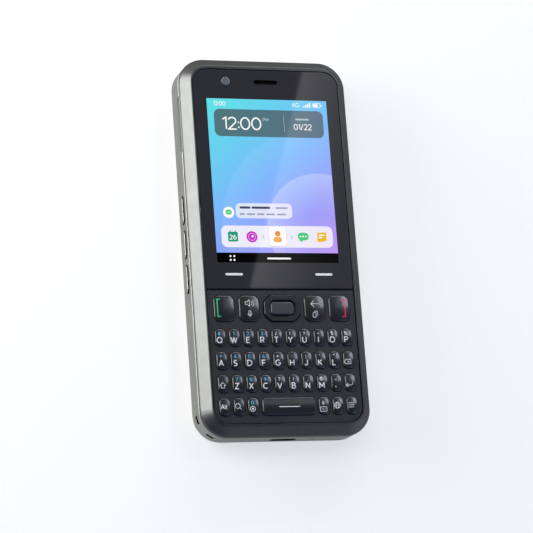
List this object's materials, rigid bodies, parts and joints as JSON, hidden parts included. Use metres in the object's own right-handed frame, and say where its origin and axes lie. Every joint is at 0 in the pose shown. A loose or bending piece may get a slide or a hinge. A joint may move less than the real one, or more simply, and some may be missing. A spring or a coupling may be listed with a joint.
{
  "type": "keypad mobile phone",
  "caption": "Bar phone with a touch screen over a full letter keypad, a tilting nav ring, side keys and a card tray that slides out.",
  "frame": {"origin": "centre of the flat back face, with the phone lying on its back", "axes": "+X to the right of the screen, +Y towards the earpiece, +Z out of the screen"},
  "size_m": [0.0604, 0.1316, 0.0143],
  "materials": {
    "case_metal": "satin",
    "cover_glass": "polished",
    "display": "gloss",
    "plate_black": "satin",
    "key_gloss": "gloss",
    "rubber_black": "matte",
    "board_green": "satin",
    "battery_grey": "satin",
    "module_black": "gloss",
    "module_steel": "brushed",
    "screw_steel": "machined"
  },
  "bodies": {
    "phone_body": {"front_frame": "case_metal", "rear_housing": "case_metal", "display_lens": "cover_glass", "display_module": "display", "keypad_plate": "plate_black", "key_mat": "rubber_black", "keypad_board": "board_green", "main_board": "board_green", "battery_pack": "battery_grey", "camera_modules": "module_black", "sound_units": "module_steel", "case_screws": "screw_steel"},
    "call_key": {"call_key": "key_gloss"},
    "speaker_key": {"speaker_key": "key_gloss"},
    "back_key": {"back_key": "key_gloss"},
    "end_key": {"end_key": "key_gloss"},
    "key_q": {"key_q": "key_gloss"},
    "key_w": {"key_w": "key_gloss"},
    "key_e": {"key_e": "key_gloss"},
    "key_r": {"key_r": "key_gloss"},
    "key_t": {"key_t": "key_gloss"},
    "key_y": {"key_y": "key_gloss"},
    "key_u": {"key_u": "key_gloss"},
    "key_i": {"key_i": "key_gloss"},
    "key_o": {"key_o": "key_gloss"},
    "key_p": {"key_p": "key_gloss"},
    "key_a": {"key_a": "key_gloss"},
    "key_s": {"key_s": "key_gloss"},
    "key_d": {"key_d": "key_gloss"},
    "key_f": {"key_f": "key_gloss"},
    "key_g": {"key_g": "key_gloss"},
    "key_h": {"key_h": "key_gloss"},
    "key_j": {"key_j": "key_gloss"},
    "key_k": {"key_k": "key_gloss"},
    "key_l": {"key_l": "key_gloss"},
    "key_delete": {"key_delete": "key_gloss"},
    "key_shift": {"key_shift": "key_gloss"},
    "key_z": {"key_z": "key_gloss"},
    "key_x": {"key_x": "key_gloss"},
    "key_c": {"key_c": "key_gloss"},
    "key_v": {"key_v": "key_gloss"},
    "key_b": {"key_b": "key_gloss"},
    "key_n": {"key_n": "key_gloss"},
    "key_m": {"key_m": "key_gloss"},
    "key_period": {"key_period": "key_gloss"},
    "key_enter": {"key_enter": "key_gloss"},
    "key_alt": {"key_alt": "key_gloss"},
    "key_search": {"key_search": "key_gloss"},
    "key_zero": {"key_zero": "key_gloss"},
    "key_symbol": {"key_symbol": "key_gloss"},
    "key_language": {"key_language": "key_gloss"},
    "key_settings": {"key_settings": "key_gloss"},
    "space_key": {"space_key": "key_gloss"},
    "nav_pad": {"nav_pad": "rubber_black"},
    "nav_ring": {"nav_ring": "key_gloss"},
    "select_key": {"select_key": "key_gloss"},
    "volume_up_key": {"volume_up_key": "case_metal"},
    "volume_down_key": {"volume_down_key": "case_metal"},
    "side_action_key": {"side_action_key": "case_metal"},
    "sim_tray": {"sim_tray": "case_metal"}
  },
  "joints": [
    {"name": "sim_tray_pull", "type": "slide", "parent": "phone_body", "child": "sim_tray", "axis": [-1, 0, 0], "range_m": [0, 0.0165]},
    {"name": "nav_left_right", "type": "hinge", "parent": "phone_body", "child": "nav_pad", "pos_m": [0, -0.0227, 0.01035], "axis": [0, 1, 0], "range_deg": [-1.8, 1.8], "stiffness_Nm_per_rad": 0.14},
    {"name": "nav_up_down", "type": "hinge", "parent": "nav_pad", "child": "nav_ring", "pos_m": [0, -0.0227, 0.0112], "axis": [1, 0, 0], "range_deg": [-2.5, 2.5], "stiffness_Nm_per_rad": 0.14},
    {"name": "select_key_press", "type": "slide", "parent": "phone_body", "child": "select_key", "axis": [0, 0, -1], "range_m": [0, 0.0003], "stiffness_N_per_m": 2500},
    {"name": "volume_up_key_press", "type": "slide", "parent": "phone_body", "child": "volume_up_key", "axis": [1, 0, 0], "range_m": [0, 0.0003], "stiffness_N_per_m": 2500},
    {"name": "volume_down_key_press", "type": "slide", "parent": "phone_body", "child": "volume_down_key", "axis": [1, 0, 0], "range_m": [0, 0.0003], "stiffness_N_per_m": 2500},
    {"name": "side_action_key_press", "type": "slide", "parent": "phone_body", "child": "side_action_key", "axis": [1, 0, 0], "range_m": [0, 0.0003], "stiffness_N_per_m": 2500},
    {"name": "call_key_press", "type": "slide", "parent": "phone_body", "child": "call_key", "axis": [0, 0, -1], "range_m": [0, 0.00035], "stiffness_N_per_m": 2500},
    {"name": "speaker_key_press", "type": "slide", "parent": "phone_body", "child": "speaker_key", "axis": [0, 0, -1], "range_m": [0, 0.00035], "stiffness_N_per_m": 2500},
    {"name": "back_key_press", "type": "slide", "parent": "phone_body", "child": "back_key", "axis": [0, 0, -1], "range_m": [0, 0.00035], "stiffness_N_per_m": 2500},
    {"name": "end_key_press", "type": "slide", "parent": "phone_body", "child": "end_key", "axis": [0, 0, -1], "range_m": [0, 0.00035], "stiffness_N_per_m": 2500},
    {"name": "key_q_press", "type": "slide", "parent": "phone_body", "child": "key_q", "axis": [0, 0, -1], "range_m": [0, 0.00035], "stiffness_N_per_m": 2500},
    {"name": "key_w_press", "type": "slide", "parent": "phone_body", "child": "key_w", "axis": [0, 0, -1], "range_m": [0, 0.00035], "stiffness_N_per_m": 2500},
    {"name": "key_e_press", "type": "slide", "parent": "phone_body", "child": "key_e", "axis": [0, 0, -1], "range_m": [0, 0.00035], "stiffness_N_per_m": 2500},
    {"name": "key_r_press", "type": "slide", "parent": "phone_body", "child": "key_r", "axis": [0, 0, -1], "range_m": [0, 0.00035], "stiffness_N_per_m": 2500},
    {"name": "key_t_press", "type": "slide", "parent": "phone_body", "child": "key_t", "axis": [0, 0, -1], "range_m": [0, 0.00035], "stiffness_N_per_m": 2500},
    {"name": "key_y_press", "type": "slide", "parent": "phone_body", "child": "key_y", "axis": [0, 0, -1], "range_m": [0, 0.00035], "stiffness_N_per_m": 2500},
    {"name": "key_u_press", "type": "slide", "parent": "phone_body", "child": "key_u", "axis": [0, 0, -1], "range_m": [0, 0.00035], "stiffness_N_per_m": 2500},
    {"name": "key_i_press", "type": "slide", "parent": "phone_body", "child": "key_i", "axis": [0, 0, -1], "range_m": [0, 0.00035], "stiffness_N_per_m": 2500},
    {"name": "key_o_press", "type": "slide", "parent": "phone_body", "child": "key_o", "axis": [0, 0, -1], "range_m": [0, 0.00035], "stiffness_N_per_m": 2500},
    {"name": "key_p_press", "type": "slide", "parent": "phone_body", "child": "key_p", "axis": [0, 0, -1], "range_m": [0, 0.00035], "stiffness_N_per_m": 2500},
    {"name": "key_a_press", "type": "slide", "parent": "phone_body", "child": "key_a", "axis": [0, 0, -1], "range_m": [0, 0.00035], "stiffness_N_per_m": 2500},
    {"name": "key_s_press", "type": "slide", "parent": "phone_body", "child": "key_s", "axis": [0, 0, -1], "range_m": [0, 0.00035], "stiffness_N_per_m": 2500},
    {"name": "key_d_press", "type": "slide", "parent": "phone_body", "child": "key_d", "axis": [0, 0, -1], "range_m": [0, 0.00035], "stiffness_N_per_m": 2500},
    {"name": "key_f_press", "type": "slide", "parent": "phone_body", "child": "key_f", "axis": [0, 0, -1], "range_m": [0, 0.00035], "stiffness_N_per_m": 2500},
    {"name": "key_g_press", "type": "slide", "parent": "phone_body", "child": "key_g", "axis": [0, 0, -1], "range_m": [0, 0.00035], "stiffness_N_per_m": 2500},
    {"name": "key_h_press", "type": "slide", "parent": "phone_body", "child": "key_h", "axis": [0, 0, -1], "range_m": [0, 0.00035], "stiffness_N_per_m": 2500},
    {"name": "key_j_press", "type": "slide", "parent": "phone_body", "child": "key_j", "axis": [0, 0, -1], "range_m": [0, 0.00035], "stiffness_N_per_m": 2500},
    {"name": "key_k_press", "type": "slide", "parent": "phone_body", "child": "key_k", "axis": [0, 0, -1], "range_m": [0, 0.00035], "stiffness_N_per_m": 2500},
    {"name": "key_l_press", "type": "slide", "parent": "phone_body", "child": "key_l", "axis": [0, 0, -1], "range_m": [0, 0.00035], "stiffness_N_per_m": 2500},
    {"name": "key_delete_press", "type": "slide", "parent": "phone_body", "child": "key_delete", "axis": [0, 0, -1], "range_m": [0, 0.00035], "stiffness_N_per_m": 2500},
    {"name": "key_shift_press", "type": "slide", "parent": "phone_body", "child": "key_shift", "axis": [0, 0, -1], "range_m": [0, 0.00035], "stiffness_N_per_m": 2500},
    {"name": "key_z_press", "type": "slide", "parent": "phone_body", "child": "key_z", "axis": [0, 0, -1], "range_m": [0, 0.00035], "stiffness_N_per_m": 2500},
    {"name": "key_x_press", "type": "slide", "parent": "phone_body", "child": "key_x", "axis": [0, 0, -1], "range_m": [0, 0.00035], "stiffness_N_per_m": 2500},
    {"name": "key_c_press", "type": "slide", "parent": "phone_body", "child": "key_c", "axis": [0, 0, -1], "range_m": [0, 0.00035], "stiffness_N_per_m": 2500},
    {"name": "key_v_press", "type": "slide", "parent": "phone_body", "child": "key_v", "axis": [0, 0, -1], "range_m": [0, 0.00035], "stiffness_N_per_m": 2500},
    {"name": "key_b_press", "type": "slide", "parent": "phone_body", "child": "key_b", "axis": [0, 0, -1], "range_m": [0, 0.00035], "stiffness_N_per_m": 2500},
    {"name": "key_n_press", "type": "slide", "parent": "phone_body", "child": "key_n", "axis": [0, 0, -1], "range_m": [0, 0.00035], "stiffness_N_per_m": 2500},
    {"name": "key_m_press", "type": "slide", "parent": "phone_body", "child": "key_m", "axis": [0, 0, -1], "range_m": [0, 0.00035], "stiffness_N_per_m": 2500},
    {"name": "key_period_press", "type": "slide", "parent": "phone_body", "child": "key_period", "axis": [0, 0, -1], "range_m": [0, 0.00035], "stiffness_N_per_m": 2500},
    {"name": "key_enter_press", "type": "slide", "parent": "phone_body", "child": "key_enter", "axis": [0, 0, -1], "range_m": [0, 0.00035], "stiffness_N_per_m": 2500},
    {"name": "key_alt_press", "type": "slide", "parent": "phone_body", "child": "key_alt", "axis": [0, 0, -1], "range_m": [0, 0.00035], "stiffness_N_per_m": 2500},
    {"name": "key_search_press", "type": "slide", "parent": "phone_body", "child": "key_search", "axis": [0, 0, -1], "range_m": [0, 0.00035], "stiffness_N_per_m": 2500},
    {"name": "key_zero_press", "type": "slide", "parent": "phone_body", "child": "key_zero", "axis": [0, 0, -1], "range_m": [0, 0.00035], "stiffness_N_per_m": 2500},
    {"name": "key_symbol_press", "type": "slide", "parent": "phone_body", "child": "key_symbol", "axis": [0, 0, -1], "range_m": [0, 0.00035], "stiffness_N_per_m": 2500},
    {"name": "key_language_press", "type": "slide", "parent": "phone_body", "child": "key_language", "axis": [0, 0, -1], "range_m": [0, 0.00035], "stiffness_N_per_m": 2500},
    {"name": "key_settings_press", "type": "slide", "parent": "phone_body", "child": "key_settings", "axis": [0, 0, -1], "range_m": [0, 0.00035], "stiffness_N_per_m": 2500},
    {"name": "space_key_press", "type": "slide", "parent": "phone_body", "child": "space_key", "axis": [0, 0, -1], "range_m": [0, 0.00035], "stiffness_N_per_m": 2500}
  ]
}
